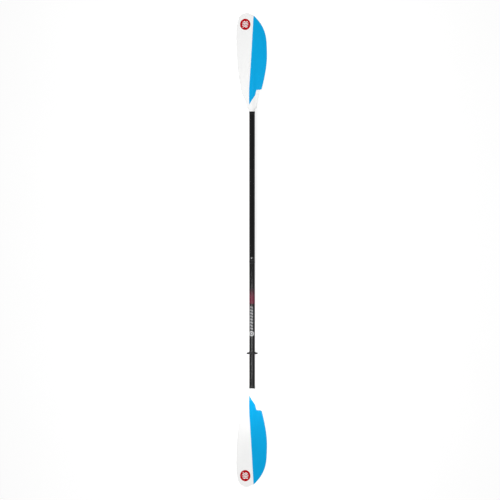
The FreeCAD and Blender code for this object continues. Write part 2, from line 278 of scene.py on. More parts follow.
def turning_place(test, low, high):
    """The place between low and high where the test turns true."""
    for _ in range(HALVINGS):
        middle = (low + high) / 2
        low, high = (low, middle) if test(middle) else (middle, high)
    return high


# ============ blade form ============
# s is the distance from the tip, and t the distance across, with the blue side positive.
def fade(s, length):
    return 1 - exp(-(((BLADE_LENGTH - s) / length) ** 2))


def middle_height(s, t):
    belly = BELLY_DEPTH * (1 - ((s - BELLY_AT) / SPOON_LENGTH) ** 2)
    fall = tan(radians(DIHEDRAL_DEG)) * (hypot(t, RIDGE_RADIUS) - RIDGE_RADIUS)
    return -fade(s, NECK_BEND) * (belly + fall)


def untrimmed_sides(s):
    reach = fade(s, NECK_FLARE)
    white = TUBE_R + (WHITE_HALF_WIDTH + TRIM_MARGIN - TUBE_R) * reach
    blue = TUBE_R + (BLUE_HALF_WIDTH + TRIM_MARGIN - TUBE_R) * reach
    return -white, blue


def core_thickness(s, t):
    """Half of the blade's thickness before its rim is rounded."""
    spine = SPINE_HEIGHT * exp((s - BLADE_LENGTH) / SPINE_RUN) * exp(-((t / TUBE_R) ** 2))
    blade_share = fade(s, NECK_ROUND)
    half = (1 - blade_share) * TUBE_R + blade_share * (WEB_THICKNESS / 2 + spine)
    white, blue = untrimmed_sides(s)
    across = min(1.0, abs((t - (white + blue) / 2) / ((blue - white) / 2)))
    power = 1 - (1 - EDGE_THINNING) * blade_share
    return half * sqrt(1 - across**2) ** power


def flare(share, half_width):
    return TUBE_R + share * (half_width - TUBE_R)


def from_tip(share, t):
    return share * BLADE_LENGTH, t


class Outline:
    """The blade's outline: both sides as t over s, and how far a point lies inside."""

    def __init__(self):
        white = [from_tip(a, -flare(f, WHITE_HALF_WIDTH)) for a, f in WHITE_SIDE]
        apex = [from_tip(TIP_APEX[0], -flare(TIP_APEX[1], WHITE_HALF_WIDTH))]
        turn = [from_tip(a, -offset) for a, offset in BLUE_SIDE_START]
        blue = [from_tip(a, flare(f, BLUE_HALF_WIDTH)) for a, f in BLUE_SIDE]
        neck = [from_tip(a, flare(f, BLUE_HALF_WIDTH)) for a, f in BLUE_NECK]
        loop = spline(white + apex + turn + blue)
        apex_index = SPLINE_STEPS * len(white)
        past_neck = BLADE_LENGTH + TRIM_MARGIN
        white_curve = [(past_neck, white[0][1])] + loop[:apex_index + 1]
        blue_curve = loop[apex_index:] + spline(neck) + [(past_neck, neck[-1][1])]
        self.apex = apex[0]
        self.step = (blue[-1][0], neck[0][0])
        self.white = lookup(white_curve)
        self.blue = lookup(blue_curve)
        self.points = [Vector((s, t, 0)) for s, t in white_curve + blue_curve[1:]]
        self.tree = kdtree.KDTree(len(self.points))
        for i, point in enumerate(self.points):
            self.tree.insert(point, i)
        self.tree.balance()

    def inside(self, s, t):
        """Distance from a point within the outline to the outline's edge."""
        here = Vector((s, t, 0))
        _, index, distance = self.tree.find(here)
        for a in (index - 1, index):
            if 0 <= a < len(self.points) - 1:
                start, run = self.points[a], self.points[a + 1] - self.points[a]
                share = min(1.0, max(0.0, (here - start).dot(run) / max(run.length_squared, TINY**2)))
                distance = min(distance, (here - start - run * share).length)
        return distance

    def sides(self, s):
        white, blue = untrimmed_sides(s)
        return max(white, self.white(s)), min(blue, self.blue(s))


OUTLINE = Outline()


def half_thickness(s, t):
    inward = min(1.0, OUTLINE.inside(s, t) / RIM_RADIUS)
    return core_thickness(s, t) * sqrt(max(0.0, 1 - (1 - inward) ** 2))


def blade_top(s, t):
    return middle_height(s, t) + half_thickness(s, t)


def on_blade(end, s, t, height):
    """A point of a blade, where end is 1 for the upper blade and -1 for the lower."""
    return Vector((end * (HALF_LENGTH - s), -t, height))


# ============ mesh helpers ============
def linked(name, data):
    """A new object that holds the data, linked to the scene."""
    made = bpy.data.objects.new(name, data)
    bpy.context.scene.collection.objects.link(made)
    return made


def shade(bm):
    """Smooth faces, with sharp edges where the surface turns a corner."""
    for face in bm.faces:
        face.smooth = True
    for edge in bm.edges:
        edge.smooth = len(edge.link_faces) == 2 and edge.calc_face_angle(0.0) < SHARP_ANGLE


def finished(name, bm):
    """Turns a closed bmesh into an object."""
    bmesh.ops.remove_doubles(bm, verts=bm.verts, dist=WELD)
    bmesh.ops.recalc_face_normals(bm, faces=bm.faces)
    shade(bm)
    mesh = bpy.data.meshes.new(name)
    bm.to_mesh(mesh)
    bm.free()
    return linked(name, mesh)


def new_mesh():
    """An empty bmesh, and what adds a vertex to it: at a place in mm, with its wear."""
    bm = bmesh.new()
    layer = bm.verts.layers.float.new("wear")

    def add(place, wear=0.0):
        vertex = bm.verts.new(place * MM)
        vertex[layer] = wear
        return vertex
    return bm, add


def join_loops(bm, a, b):
    """Faces between two closed loops of vertices, where a loop of one vertex is a point."""
    count = max(len(a), len(b))
    for i in range(count):
        k = (i + 1) % count
        ring = [a[i % len(a)], a[k % len(a)], b[k % len(b)], b[i % len(b)]]
        unique = list(dict.fromkeys(ring))
        if len(unique) > 2:
            bm.faces.new(unique)


def join_row(bm, loops):
    for a, b in zip(loops, loops[1:]):
        join_loops(bm, a, b)


def border(grid):
    """The closed loop of vertices around a grid."""
    far, near = [row[-1] for row in grid[1:]], [row[0] for row in grid[-2:0:-1]]
    return grid[0] + far + grid[-1][-2::-1] + near


def close_shell(bm, top, bottom):
    """Joins two grids of vertices into one closed shell."""
    for grid in (top, bottom):
        for a, b in zip(grid, grid[1:]):
            for j in range(len(a) - 1):
                bm.faces.new((a[j], a[j + 1], b[j + 1], b[j]))
    join_loops(bm, border(top), border(bottom))


def soften(profile, cut, closed=True):
    """Rounds a profile's corners, and marks how worn each point is: (along, radius, wear)."""
    out = []
    count = len(profile)
    for i, point in enumerate(profile):
        if not closed and i in (0, count - 1):
            out.append((*point, 0.0))
            continue
        corner = Vector(point)
        before = Vector(profile[i - 1]) - corner
        after = Vector(profile[(i + 1) % count]) - corner
        reach = min(cut, CORNER_SHARE * before.length, CORNER_SHARE * after.length)
        run_in, run_out = before.normalized(), after.normalized()
        if run_in.dot(run_out) < STRAIGHT:
            out.append((*point, 0.0))
            continue
        if before.length > LONG_EDGE * reach:
            out.append((*(corner + run_in * reach * LOOP_AT), 0.0))
        start, end = corner + run_in * reach, corner + run_out * reach
        for v in even_steps(0, 1, CORNER_STEPS):
            place = start * (1 - v) ** 2 + corner * 2 * v * (1 - v) + end * v**2
            out.append((*place, 1.0 if 0 < v < 1 else SHOULDER_WEAR))
        if after.length > LONG_EDGE * reach:
            out.append((*(corner + run_out * reach * LOOP_AT), 0.0))
    return out


ALONG_X = Matrix(((0, 0, 1), (1, 0, 0), (0, 1, 0)))      # turns a piece made about Z to lie along X


def turned(name, profile, closed=True, origin=(0, 0, 0), turn=ALONG_X, around=AROUND):
    """A piece turned on a lathe: the profile is (along, radius, wear) in mm about the axis."""
    bm, add = new_mesh()
    base = Vector(origin)
    loops = []
    for along, radius, wear in profile:
        sides = around if radius > TINY else 1
        angles = [tau * i / around for i in range(sides)]
        ring = [Vector((radius * cos(a), radius * sin(a), along)) for a in angles]
        loops.append([add(base + turn @ p, wear) for p in ring])
    join_row(bm, loops + loops[:1] if closed else loops)
    return finished(name, bm)


def tube_profile(start, end, outer, inner, cut, loops=()):
    """A tube's wall with rounded ends, and an extra loop of faces at each place in loops."""
    outside = [(x, outer) for x in (start, *loops, end)]
    inside = [(x, inner) for x in (end, *reversed(loops), start)]
    return soften(outside + inside, cut)


def cut_holes(piece, cutters):
    """Cuts each cutter from the piece and removes the cutters."""
    for cutter in cutters:
        modifier = piece.modifiers.new("hole", "BOOLEAN")
        modifier.operation = "DIFFERENCE"
        modifier.solver = "EXACT"
        modifier.object = cutter
    evaluated = piece.evaluated_get(bpy.context.evaluated_depsgraph_get())
    mesh = bpy.data.meshes.new_from_object(evaluated)
    piece.modifiers.clear()
    old = piece.data
    piece.data = mesh
    bpy.data.meshes.remove(old)
    for cutter in cutters:
        bpy.data.objects.remove(cutter)
    bm = bmesh.new()
    bm.from_mesh(piece.data)
    shade(bm)
    bm.to_mesh(piece.data)
    bm.free()
    return piece


def patch(name, end, rows, lift, sink, shrink=0.0, corner=None):
    """A closed shell on the blade's top over a grid of (s, t).

    It stands lift above the blade, and its underside is sink below its top. The underside stops
    short of the last column by shrink, so that it stays inside a rounded rim. Near a corner of
    the outline, given as (s, t), the shell stands higher."""
    bm, add = new_mesh()
    top, bottom = [], []
    for row in rows:
        start = row[0][1]
        kept = max(0.0, 1 - shrink / max(TINY, row[-1][1] - start))
        upper, lower = [], []
        for s, t in row:
            inside = OUTLINE.inside(s, t)
            out_t = t + lift * max(0.0, 1 - inside / RIM_RADIUS)
            raised = lift
            if corner:
                raised += CORNER_LIFT * exp(-(dist((s, t), corner) / CORNER_REACH) ** 2)
            over = on_blade(end, s, out_t, blade_top(s, t) + raised)
            in_t = start + (t - start) * kept
            under = on_blade(end, s, in_t, blade_top(s, in_t) + lift - sink)
            upper.append(add(over, exp(-inside / WEAR_REACH)))
            lower.append(add(under))
        top.append(upper)
        bottom.append(lower)
    close_shell(bm, top, bottom)
    return finished(name, bm)


# ============ materials ============
def node(tree, kind, inputs=None, **settings):
    made = tree.nodes.new(kind)
    for key, value in settings.items():
        setattr(made, key, value)
    for key, value in (inputs or {}).items():
        if isinstance(value, bpy.types.NodeSocket):
            tree.links.new(value, made.inputs[key])
        else:
            made.inputs[key].default_value = value
    return made


class Finish:
    """A procedural material: patterns in the paddle's own coordinates, in metres."""

    def __init__(self, name):
        self.material = bpy.data.materials.new(name)
        self.material.use_nodes = True
        self.tree = self.material.node_tree
        self.tree.nodes.clear()
        self.place = self.add("ShaderNodeTexCoord").outputs["Object"]

    def add(self, kind, inputs=None, **settings):
        return node(self.tree, kind, inputs, **settings)

    def scaled(self, x, y, z, rotation=(0, 0, 0)):
        made = self.add("ShaderNodeMapping", {
            "Vector": self.place, "Scale": (x, y, z), "Rotation": rotation})
        return made.outputs["Vector"]

    def noise(self, vector, scale=1.0, detail=3.0, roughness=0.55):
        made = self.add("ShaderNodeTexNoise", {
            "Vector": vector, "Scale": scale, "Detail": detail, "Roughness": roughness})
        return made.outputs["Fac"]

    def remap(self, value, low, high, to_low, to_high):
        made = self.add("ShaderNodeMapRange", {
            "Value": value, "From Min": low, "From Max": high, "To Min": to_low, "To Max": to_high})
        return made.outputs["Result"]

    def spread(self, pattern, low, high):
        """Spreads the usual range of a noise pattern over low to high."""
        return self.remap(pattern, 0.3, 0.7, low, high)

    def blend(self, share, a, b):
        """Mixes two colours. Sockets 6, 7 and 2 are the mix node's colours in and out."""
        made = self.add("ShaderNodeMix", {"Factor": share}, data_type="RGBA")
        for socket, colour in ((made.inputs[6], a), (made.inputs[7], b)):
            if isinstance(colour, bpy.types.NodeSocket):
                self.tree.links.new(colour, socket)
            else:
                socket.default_value = (*colour, 1.0)
        return made.outputs[2]

    def times(self, a, b):
        return self.add("ShaderNodeMath", {0: a, 1: b}, operation="MULTIPLY").outputs[0]

    def plus(self, a, b):
        return self.add("ShaderNodeMath", {0: a, 1: b}, operation="ADD").outputs[0]

    def wear(self, patches):
        """Worn edges, and on the white blade painted shade of the rounded rim: the mesh's own wear
        value, broken up by a pattern.
        """
        edge = self.add("ShaderNodeAttribute", attribute_name="wear").outputs["Fac"]
        return self.times(edge, patches)

    def bump(self, height, strength, distance):
        """A surface pattern, whose distance is in mm."""
        made = self.add("ShaderNodeBump", {
            "Height": height, "Strength": strength, "Distance": distance * MM})
        return made.outputs["Normal"]

    def done(self, colour, roughness, normal, specular=0.5, **numbers):
        shader = self.add("ShaderNodeBsdfPrincipled", {
            "Base Color": colour, "Roughness": roughness, "Normal": normal,
            "Specular IOR Level": specular})
        for key, value in numbers.items():
            shader.inputs[key.replace("_", " ")].default_value = value
        output = self.add("ShaderNodeOutputMaterial")
        self.tree.links.new(shader.outputs["BSDF"], output.inputs["Surface"])
        return self.material


UNDER_INK = (0.010, 0.010, 0.011)   # the tube's black, where ink is rubbed thin and at the band's darker upper end


def tube_black():
    """Satin black anodised tube: grain along its length, scuffs, and bright metal at worn edges."""
    f = Finish("tube_black")
    grain = f.noise(f.scaled(3, 700, 700), detail=4)
    cloud = f.noise(f.scaled(9, 40, 40), detail=3)
    scuffs = f.remap(f.noise(f.scaled(60, 900, 900), detail=2), 0.66, 0.74, 0, 1)
    base = f.blend(cloud, (0.0018, 0.0019, 0.0022), (0.0042, 0.0042, 0.0045))
    base = f.blend(f.times(scuffs, 0.35), base, (0.045, 0.045, 0.047))
    worn = f.wear(f.remap(cloud, 0.35, 0.6, 0.1, 0.8))
    colour = f.blend(worn, base, (0.30, 0.30, 0.31))
    roughness = f.plus(f.spread(grain, 0.30, 0.40), f.times(scuffs, 0.12))
    return f.done(colour, roughness, f.bump(grain, 0.25, 0.04), specular=0.20)


def moulded(name, light, dark, roughness, grain, depth, worn, most, specular):
    """Moulded plastic: faint flow marks, a fine eroded texture, scratches and scuffed edges.

    grain is the texture's size in mm and depth its strength, worn is the colour of scratches and worn
    edges, which on the white blade is partly painted shade of the rounded rim, and most is the largest
    share of it there."""
    f = Finish(name)
    flow = f.noise(f.scaled(7, 22, 22), detail=4)
    texture = f.noise(f.place, scale=1 / (grain * MM), detail=2)
    streaks = f.noise(f.scaled(45, 1400, 1400, (0, 0, 0.35)), detail=1)
    scratches = f.remap(streaks, 0.69, 0.76, 0, 1)
    base = f.blend(f.spread(flow, 0, 1), dark, light)
    base = f.blend(f.times(scratches, 0.25), base, worn)
    # edges take the worn colour: edge wear, and on the white blade also painted shade along the rim
    colour = f.blend(f.wear(f.remap(flow, 0.4, 0.62, 0, most)), base, worn)
    rough = f.plus(f.spread(flow, *roughness), f.times(scratches, 0.15))
    return f.done(colour, rough, f.bump(texture, depth, 0.06), specular)


def metal(name, light, dark, roughness, stretch, worn):
    """Bare metal with a directional grain, set by the three scales of stretch, and small pits."""
    f = Finish(name)
    grain = f.noise(f.scaled(*stretch), detail=4)
    pits = f.noise(f.place, scale=600, detail=2)
    base = f.blend(grain, dark, light)
    colour = f.blend(f.wear(f.remap(pits, 0.4, 0.6, 0.2, 0.9)), base, worn)
    normal = f.bump(f.plus(grain, pits), 0.3, 0.03)
    return f.done(colour, f.spread(grain, *roughness), normal, Metallic=1.0)


def rubber():
    """Soft black rubber with dusty high spots and a matt, slightly pebbled skin."""
    f = Finish("drip_rubber")
    pebble = f.noise(f.place, scale=900, detail=3)
    dust = f.remap(f.noise(f.place, scale=70, detail=4), 0.45, 0.75, 0, 0.5)
    base = f.blend(dust, (0.0045, 0.0045, 0.005), (0.012, 0.012, 0.012))
    colour = f.blend(f.wear(dust), base, (0.07, 0.07, 0.07))
    return f.done(colour, f.spread(pebble, 0.55, 0.75), f.bump(pebble, 0.5, 0.08), specular=0.2)


def wound_composite():
    """The ferrule: black glass fibre wound both ways under resin."""
    f = Finish("ferrule_black")
    sweeps = []
    for lean in (0.9, -0.9):
        wave = f.add("ShaderNodeTexWave", {
            "Vector": f.scaled(1, 1, 1, (0, 0, lean)), "Scale": 180.0,
            "Distortion": 1.5, "Detail": 2.0})
        sweeps.append(wave.outputs["Fac"])
    weave = f.times(f.plus(*sweeps), 0.5)
    cloud = f.noise(f.place, scale=60, detail=3)
    base = f.blend(weave, (0.010, 0.010, 0.011), (0.026, 0.026, 0.028))
    rubbed = f.remap(f.noise(f.scaled(4, 500, 500), detail=2), 0.6, 0.75, 0, 0.5)
    base = f.blend(rubbed, base, (0.06, 0.06, 0.062))
    colour = f.blend(f.wear(f.remap(cloud, 0.35, 0.6, 0.1, 0.7)), base, (0.12, 0.12, 0.12))
    roughness = f.plus(f.spread(cloud, 0.24, 0.36), f.times(rubbed, 0.3))
    return f.done(colour, roughness, f.bump(weave, 0.35, 0.06), specular=0.4)


def closed_cell_foam():
    """Pale grey foam with fine closed cells."""
    f = Finish("foam")
    cells = f.add("ShaderNodeTexVoronoi", {"Vector": f.place, "Scale": 900.0}).outputs["Distance"]
    cloud = f.noise(f.place, scale=90, detail=3)
    base = f.blend(cells, (0.50, 0.50, 0.48), (0.72, 0.72, 0.70))
    colour = f.blend(f.wear(cloud), base, (0.4, 0.4, 0.38))
    return f.done(colour, f.spread(cloud, 0.8, 0.95), f.bump(cells, 0.6, 0.2))


def printed(name, ink, thin, start=None, end=None):
    """Screen-printed film with slightly uneven ink, whose colour can go along X from the tube's black
    at start to the full ink at end.
    """
    f = Finish(name)
    uneven = f.noise(f.place, scale=420, detail=4)
    rub = f.remap(f.noise(f.scaled(30, 600, 600), detail=3), 0.62, 0.72, 0, 0.7)
    cover = f.blend(f.spread(uneven, 0, 1), thin, ink)
    colour = f.blend(rub, cover, UNDER_INK)
    if start is not None:
        along = f.add("ShaderNodeSeparateXYZ", {"Vector": f.place}).outputs["X"]
        # darker towards the band's upper end: the tube's black at start, the full ink at end
        colour = f.blend(f.remap(along, start * MM, end * MM, 0, 1), UNDER_INK, colour)
    return f.done(colour, f.spread(uneven, 0.30, 0.42), f.bump(uneven, 0.3, 0.03), specular=0.16)


BAND = x_span("shaft_band")
BAND_FADE = 42.0                    # how far from its upper end the band goes from the tube's black to its full colour
# The frame's materials can have these names already, and a new one then gets a number after a dot.
MATERIALS = {made.name.split(".")[0]: made for made in (
    tube_black(),
    # blade_white's darker worn colour at the edges is partly edge wear and partly painted shade along
    # the rounded rim
    moulded("blade_white", (0.82, 0.82, 0.815), (0.80, 0.802, 0.80), roughness=(0.42, 0.54),
            grain=1.1, depth=0.35, worn=(0.55, 0.55, 0.54), most=0.30, specular=0.12),
    moulded("panel_blue", (0.0, 0.345, 0.680), (0.0, 0.325, 0.650), roughness=(0.40, 0.52),
            grain=1.1, depth=0.30, worn=(0.03, 0.36, 0.64), most=0.35, specular=0.07),
    moulded("roundel_red", (0.42, 0.001, 0.004), (0.38, 0.001, 0.003), roughness=(0.38, 0.48),
            grain=0.8, depth=0.20, worn=(0.42, 0.03, 0.03), most=0.3, specular=0.07),
    moulded("ring_black", (0.0085, 0.0085, 0.009), (0.005, 0.005, 0.0055), roughness=(0.32, 0.44),
            grain=0.7, depth=0.5, worn=(0.03, 0.03, 0.03), most=0.3, specular=0.18),
    moulded("cap_black", (0.020, 0.020, 0.021), (0.012, 0.012, 0.013), roughness=(0.42, 0.56),
            grain=0.7, depth=0.5, worn=(0.08, 0.08, 0.08), most=0.6, specular=0.3),
    moulded("collar_grey", (0.010, 0.010, 0.0105), (0.006, 0.006, 0.0065), roughness=(0.36, 0.48),
            grain=0.6, depth=0.4, worn=(0.08, 0.08, 0.08), most=0.5, specular=0.2),
    metal("rivet_metal", (0.78, 0.78, 0.79), (0.55, 0.55, 0.56), roughness=(0.30, 0.45),
          stretch=(300, 300, 300), worn=(0.85, 0.85, 0.85)),
    metal("button_steel", (0.26, 0.26, 0.265), (0.18, 0.18, 0.185), roughness=(0.32, 0.46),
          stretch=(120, 1500, 400), worn=(0.75, 0.75, 0.75)),
    metal("spring_steel", (0.50, 0.49, 0.47), (0.34, 0.33, 0.32), roughness=(0.28, 0.42),
          stretch=(25, 900, 900), worn=(0.7, 0.7, 0.7)),
    closed_cell_foam(),
    wound_composite(),
    rubber(),
    printed("band_maroon", (0.084, 0.009, 0.022), (0.056, 0.006, 0.014),
            BAND[1], BAND[1] - BAND_FADE),
    printed("mark_grey", (0.24, 0.24, 0.245), (0.19, 0.19, 0.195)),
    printed("bar_grey", (0.16, 0.16, 0.165), (0.11, 0.11, 0.115)),
)}


def fit(piece, body, slot, *nodes, finish=None):
    """Gives a piece the material named by its slot, or by finish when that is given, puts it in its
    body and hides the CAD nodes that it stands for.
    """
    piece.data.materials.clear()
    piece.data.materials.append(MATERIALS[finish or slot])
    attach(piece, body)
    if nodes:
        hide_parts(*nodes)
    return piece


HALVES = {"upper": (1, "upper_half"), "lower": (-1, "lower_half")}


# ============ blades ============
def section_angles():
    return [pi * i / BLADE_ACROSS for i in range(2 * BLADE_ACROSS)]


def blade_loop(add, end, s):
    """One closed section: over the top from the white edge to the blue one, and back underneath."""
    white, blue = OUTLINE.sides(s)
    loop = []
    for angle in section_angles():
        t = (white + blue) / 2 - (blue - white) / 2 * cos(angle)
        side = 1 if angle <= pi else -1
        height = middle_height(s, t) + side * half_thickness(s, t)
        # edge value: wear, and on the white blade also painted shade along the rim
        wear = exp(-OUTLINE.inside(s, t) / WEAR_REACH)
        loop.append(add(on_blade(end, s, t, height), wear))
    return loop


def spigot_loop(add, end, x, radius):
    """One closed round section of the spigot, with as many vertices as a blade section."""
    points = [(-radius * cos(a), radius * sin(a)) for a in section_angles()]
    return [add(on_blade(end, HALF_LENGTH - x, t, z)) for t, z in points]


def blade(name):
    """The whole moulding: the blade, its round neck and the hollow spigot inside the tube."""
    end, body = HALVES[name]
    bm, add = new_mesh()
    step_low, step_high = OUTLINE.step
    at_step = [step_low + (step_high - step_low) * i / STEP_STATIONS
               for i in range(-STEP_BESIDE, STEP_STATIONS + STEP_BESIDE + 1)]
    apart = [s for s in cosine_steps(0, BLADE_LENGTH, BLADE_STATIONS)[1:]
             if not at_step[0] - STATION_GAP < s < at_step[-1] + STATION_GAP]
    apex_s, apex_t = OUTLINE.apex
    apex = on_blade(end, apex_s, apex_t, middle_height(apex_s, apex_t))
    loops = [[add(apex, 1.0)]]
    loops += [blade_loop(add, end, s) for s in sorted(apart + at_step)]
    for x, radius in (
            (SHAFT_END, BORE_R), (SPIGOT_END + SPIGOT_CHAMFER, BORE_R),
            (SPIGOT_END, BORE_R - SPIGOT_CHAMFER), (SPIGOT_END, SPIGOT_BORE_R),
            (SHAFT_END, SPIGOT_BORE_R)):
        loops.append(spigot_loop(add, end, x, radius))
    loops.append([add(on_blade(end, BLADE_LENGTH, 0, 0))])
    join_row(bm, loops)
    fit(finished(f"{name}_blade_moulding", bm), body, "blade_white", f"{name}_blade")


def panel(name):
    """The blue inlay, from the tip's curve down to the pointed heel."""
    end, body = HALVES[name]
    line = lookup(spline([from_tip(a, r * TUBE_R) for a, r in PANEL_LINE]))
    heel_points = [from_tip(a, r * TUBE_R) for a, r in PANEL_HEEL]
    heel = lookup(heel_points)
    heel_end, heel_corner, heel_start = heel_points[0][0], heel_points[-2][0], heel_points[-1][0]

    def right(s):
        blue = OUTLINE.sides(s)[1]
        return min(blue, heel(s)) if s >= heel_start else blue

    first = turning_place(
        lambda s: right(s) > line(s), 0.0, PANEL_LINE[1][0] * BLADE_LENGTH)
    stations = cosine_steps(first, heel_end, PATCH_STATIONS) + [OUTLINE.step[0]]
    stations += even_steps(heel_start, heel_corner, HEEL_STATIONS)
    rows = []
    for s in sorted(stations):
        left = line(s)
        rows.append([(s, t) for t in cosine_steps(left, max(left, right(s)), PATCH_ACROSS)])
    corner = (OUTLINE.step[0], right(OUTLINE.step[0]))
    piece = patch(
        f"{name}_blade_panel_inlay", end, rows, INLAY_LIFT, INLAY_SINK, INLAY_SHRINK, corner)
    fit(piece, body, "panel_blue", f"{name}_blade_panel")


def roundel(name):
    """The round red inlay near the tip."""
    end, body = HALVES[name]
    rows = [[(ROUNDEL_FROM_TIP + ROUNDEL_RADIUS * x, ROUNDEL_ACROSS + ROUNDEL_RADIUS * y)
             for x, y in row] for row in disc_grid(PATCH_ACROSS * 2, PATCH_ACROSS)]
    piece = patch(f"{name}_blade_roundel_inlay", end, rows, INLAY_LIFT, INLAY_SINK)
    fit(piece, body, "roundel_red", f"{name}_blade_roundel")


def waves(name):
    """Plain printed water lines on the roundel, of which the outer two are shorter."""
    end, body = HALVES[name]
    for k in range(WAVE_ROWS):
        offset = (k - (WAVE_ROWS - 1) / 2) * WAVE_PITCH
        length = WAVE_LENGTH * (OUTER_WAVE_SHARE if k in (0, WAVE_ROWS - 1) else 1.0)
        rows = []
        for along in even_steps(-length / 2, length / 2, WAVE_STEPS):
            middle = offset + WAVE_HEIGHT * sin(tau * WAVE_TURNS * along / WAVE_LENGTH)
            half = WAVE_THICK / 2 * sqrt(max(0.0, 1 - (2 * along / length) ** 4))
            rows.append([(ROUNDEL_FROM_TIP + middle + across, ROUNDEL_ACROSS + along)
                         for across in even_steps(-half, half, WAVE_ACROSS)])
        piece = patch(f"{name}_roundel_wave_{k + 1}", end, rows, INLAY_LIFT * 2, INLAY_SINK)
        fit(piece, body, "blade_white")


# ============ shafts and joint ============
def z_drill(name, x, radius, low, high, angle=0.0, low_radius=None):
    """A cutter from low to high along Z, turned by angle about the shaft.

    With low_radius it is a cone that has that radius at low."""
    turn = Matrix.Rotation(radians(angle), 3, "X")
    wide = radius if low_radius is None else low_radius
    profile = [(low, 0, 0), (low, wide, 0), (high, radius, 0), (high, 0, 0)]
    return turned(name, profile, closed=False, origin=(x, 0, 0), turn=turn, around=HOLE_AROUND)


def rivet_cutters(x):
    """The countersink in the tube's wall, and the hole for the shank."""
    seat_r = RIVET_HEAD_R + RIVET_SEAT_GAP
    slope = (seat_r - RIVET_R) / TUBE_WALL
    cone = z_drill("rivet_cone", x, RIVET_R, -TUBE_R - CUT_PAST, -BORE_R,
                   low_radius=seat_r + slope * CUT_PAST)
    return [cone, z_drill("rivet_hole", x, RIVET_R + RIVET_HOLE_GAP, -TUBE_R, -BORE_R / 2)]


def shafts():
    """Both tubes: the upper one has the button's holes, and each has a rivet's."""
    start, end = x_span("upper_shaft")
    loops = [BUTTON_X + HOLE_MARGIN, 0.0, RIVET_X - HOLE_MARGIN, RIVET_X + HOLE_MARGIN]
    profile = tube_profile(start, end, TUBE_R, BORE_R, TUBE_BREAK, loops)
    drills = [z_drill("button_hole", BUTTON_X, BUTTON_R + HOLE_CLEARANCE, 0, TUBE_R * 2, -a)
              for a in FEATHER_ANGLES]
    upper = cut_holes(turned("upper_shaft_tube", profile), drills + rivet_cutters(RIVET_X))
    fit(upper, "upper_half", "tube_black", "upper_shaft")
    start, end = x_span("lower_shaft")
    loops = [-RIVET_X - HOLE_MARGIN, -RIVET_X + HOLE_MARGIN]
    profile = tube_profile(start, end, TUBE_R, BORE_R, TUBE_BREAK, loops)
    lower = cut_holes(turned("lower_shaft_tube", profile), rivet_cutters(-RIVET_X))
    fit(lower, "lower_half", "tube_black", "lower_shaft")


def end_rings():
    """The ring at each end of the shaft, with a shallow groove and a sloped edge at the blade."""
    low, high = corners("upper_end_ring")
    outer = TUBE_R + END_RING_PROUD
    groove, groove_end, groove_side, groove_depth = low.x + 3.2, low.x + 4.8, 0.4, 0.3
    entry_drop, slope_run, slope_drop = 0.15, 1.5, 0.45
    for name, (end, body) in HALVES.items():
        profile = [(end * x, r) for x, r in (
            (low.x, BORE_R), (low.x, outer - entry_drop), (groove, outer),
            (groove + groove_side, outer - groove_depth),
            (groove_end - groove_side, outer - groove_depth), (groove_end, outer),
            (high.x - slope_run, outer), (high.x, outer - slope_drop), (high.x, BORE_R))]
        piece = turned(f"{name}_end_ring_band", soften(profile, 0.3))
        fit(piece, body, "ring_black", f"{name}_end_ring")


def foam_plugs():
    start, end = x_span("upper_foam_plug")
    rounding = 1.2
    for name, (side, body) in HALVES.items():
        profile = [(side * start, 0), (side * start, BORE_R), (side * end, BORE_R), (side * end, 0)]
        profile = soften(profile, rounding, closed=False)
        piece = turned(f"{name}_foam_plug_block", profile, closed=False)
        fit(piece, body, "foam", f"{name}_foam_plug")


def blade_rivets():
    """Flush rivet: a head that follows the tube, with its mandrel's dimple, on a short shank.

    The head is (radius, lift above the tube) and the shank is (radius, height)."""
    dimple_r, dimple_depth, worn_from = 0.7, 0.35, 3.8
    tail, lip = corners("upper_blade_rivet")[1].z, 0.3
    head = [
        (0.0, -dimple_depth), (dimple_r, -dimple_depth), (dimple_r + 0.3, -0.1),
        (dimple_r + 0.6, RIVET_LIFT), (RIVET_HEAD_R - 0.4, RIVET_LIFT),
        (RIVET_HEAD_R - 0.15, RIVET_LIFT * 0.6), (RIVET_HEAD_R, -0.05)]
    shank = [(RIVET_R, -BORE_R), (RIVET_R, tail + lip), (RIVET_R - lip, tail), (0.0, tail)]
    for name, (end, body) in HALVES.items():
        bm, add = new_mesh()
        loops = []
        for radius, height in head + shank:
            wear = 0.8 if radius > worn_from else 0.0
            loop = []
            for i in range(HOLE_AROUND if radius else 1):
                a = tau * i / HOLE_AROUND
                x, y, z = radius * cos(a), radius * sin(a), height
                if len(loops) < len(head):
                    z = -sqrt((TUBE_R + height) ** 2 - y**2)
                loop.append(add(Vector((end * RIVET_X + x, y, z)), wear))
            loops.append(loop)
        join_row(bm, loops)
        fit(finished(f"{name}_blade_rivet_pin", bm), body, "rivet_metal", f"{name}_blade_rivet")


def ferrule():
    """The sleeve: bonded into the lower tube, and a little slimmer where the upper tube slides."""
    tail, tip = x_span("ferrule")
    bonded_end = x_span("lower_shaft")[1]
    bonded_r = BORE_R - BOND_GAP
    profile = [
        (tail, FERRULE_BORE_R), (tail, bonded_r), (bonded_end - 1, bonded_r),
        (bonded_end + 0.5, FERRULE_R), (BUTTON_X - HOLE_MARGIN, FERRULE_R),
        (BUTTON_X + HOLE_MARGIN, FERRULE_R), (tip, FERRULE_R), (tip, FERRULE_BORE_R)]
    drill = z_drill("ferrule_hole", BUTTON_X, BUTTON_R + FERRULE_HOLE_CLEARANCE, 0, TUBE_R * 2)
    piece = cut_holes(turned("ferrule_sleeve", soften(profile, 0.3)), [drill])
    fit(piece, "lower_half", "ferrule_black", "ferrule")


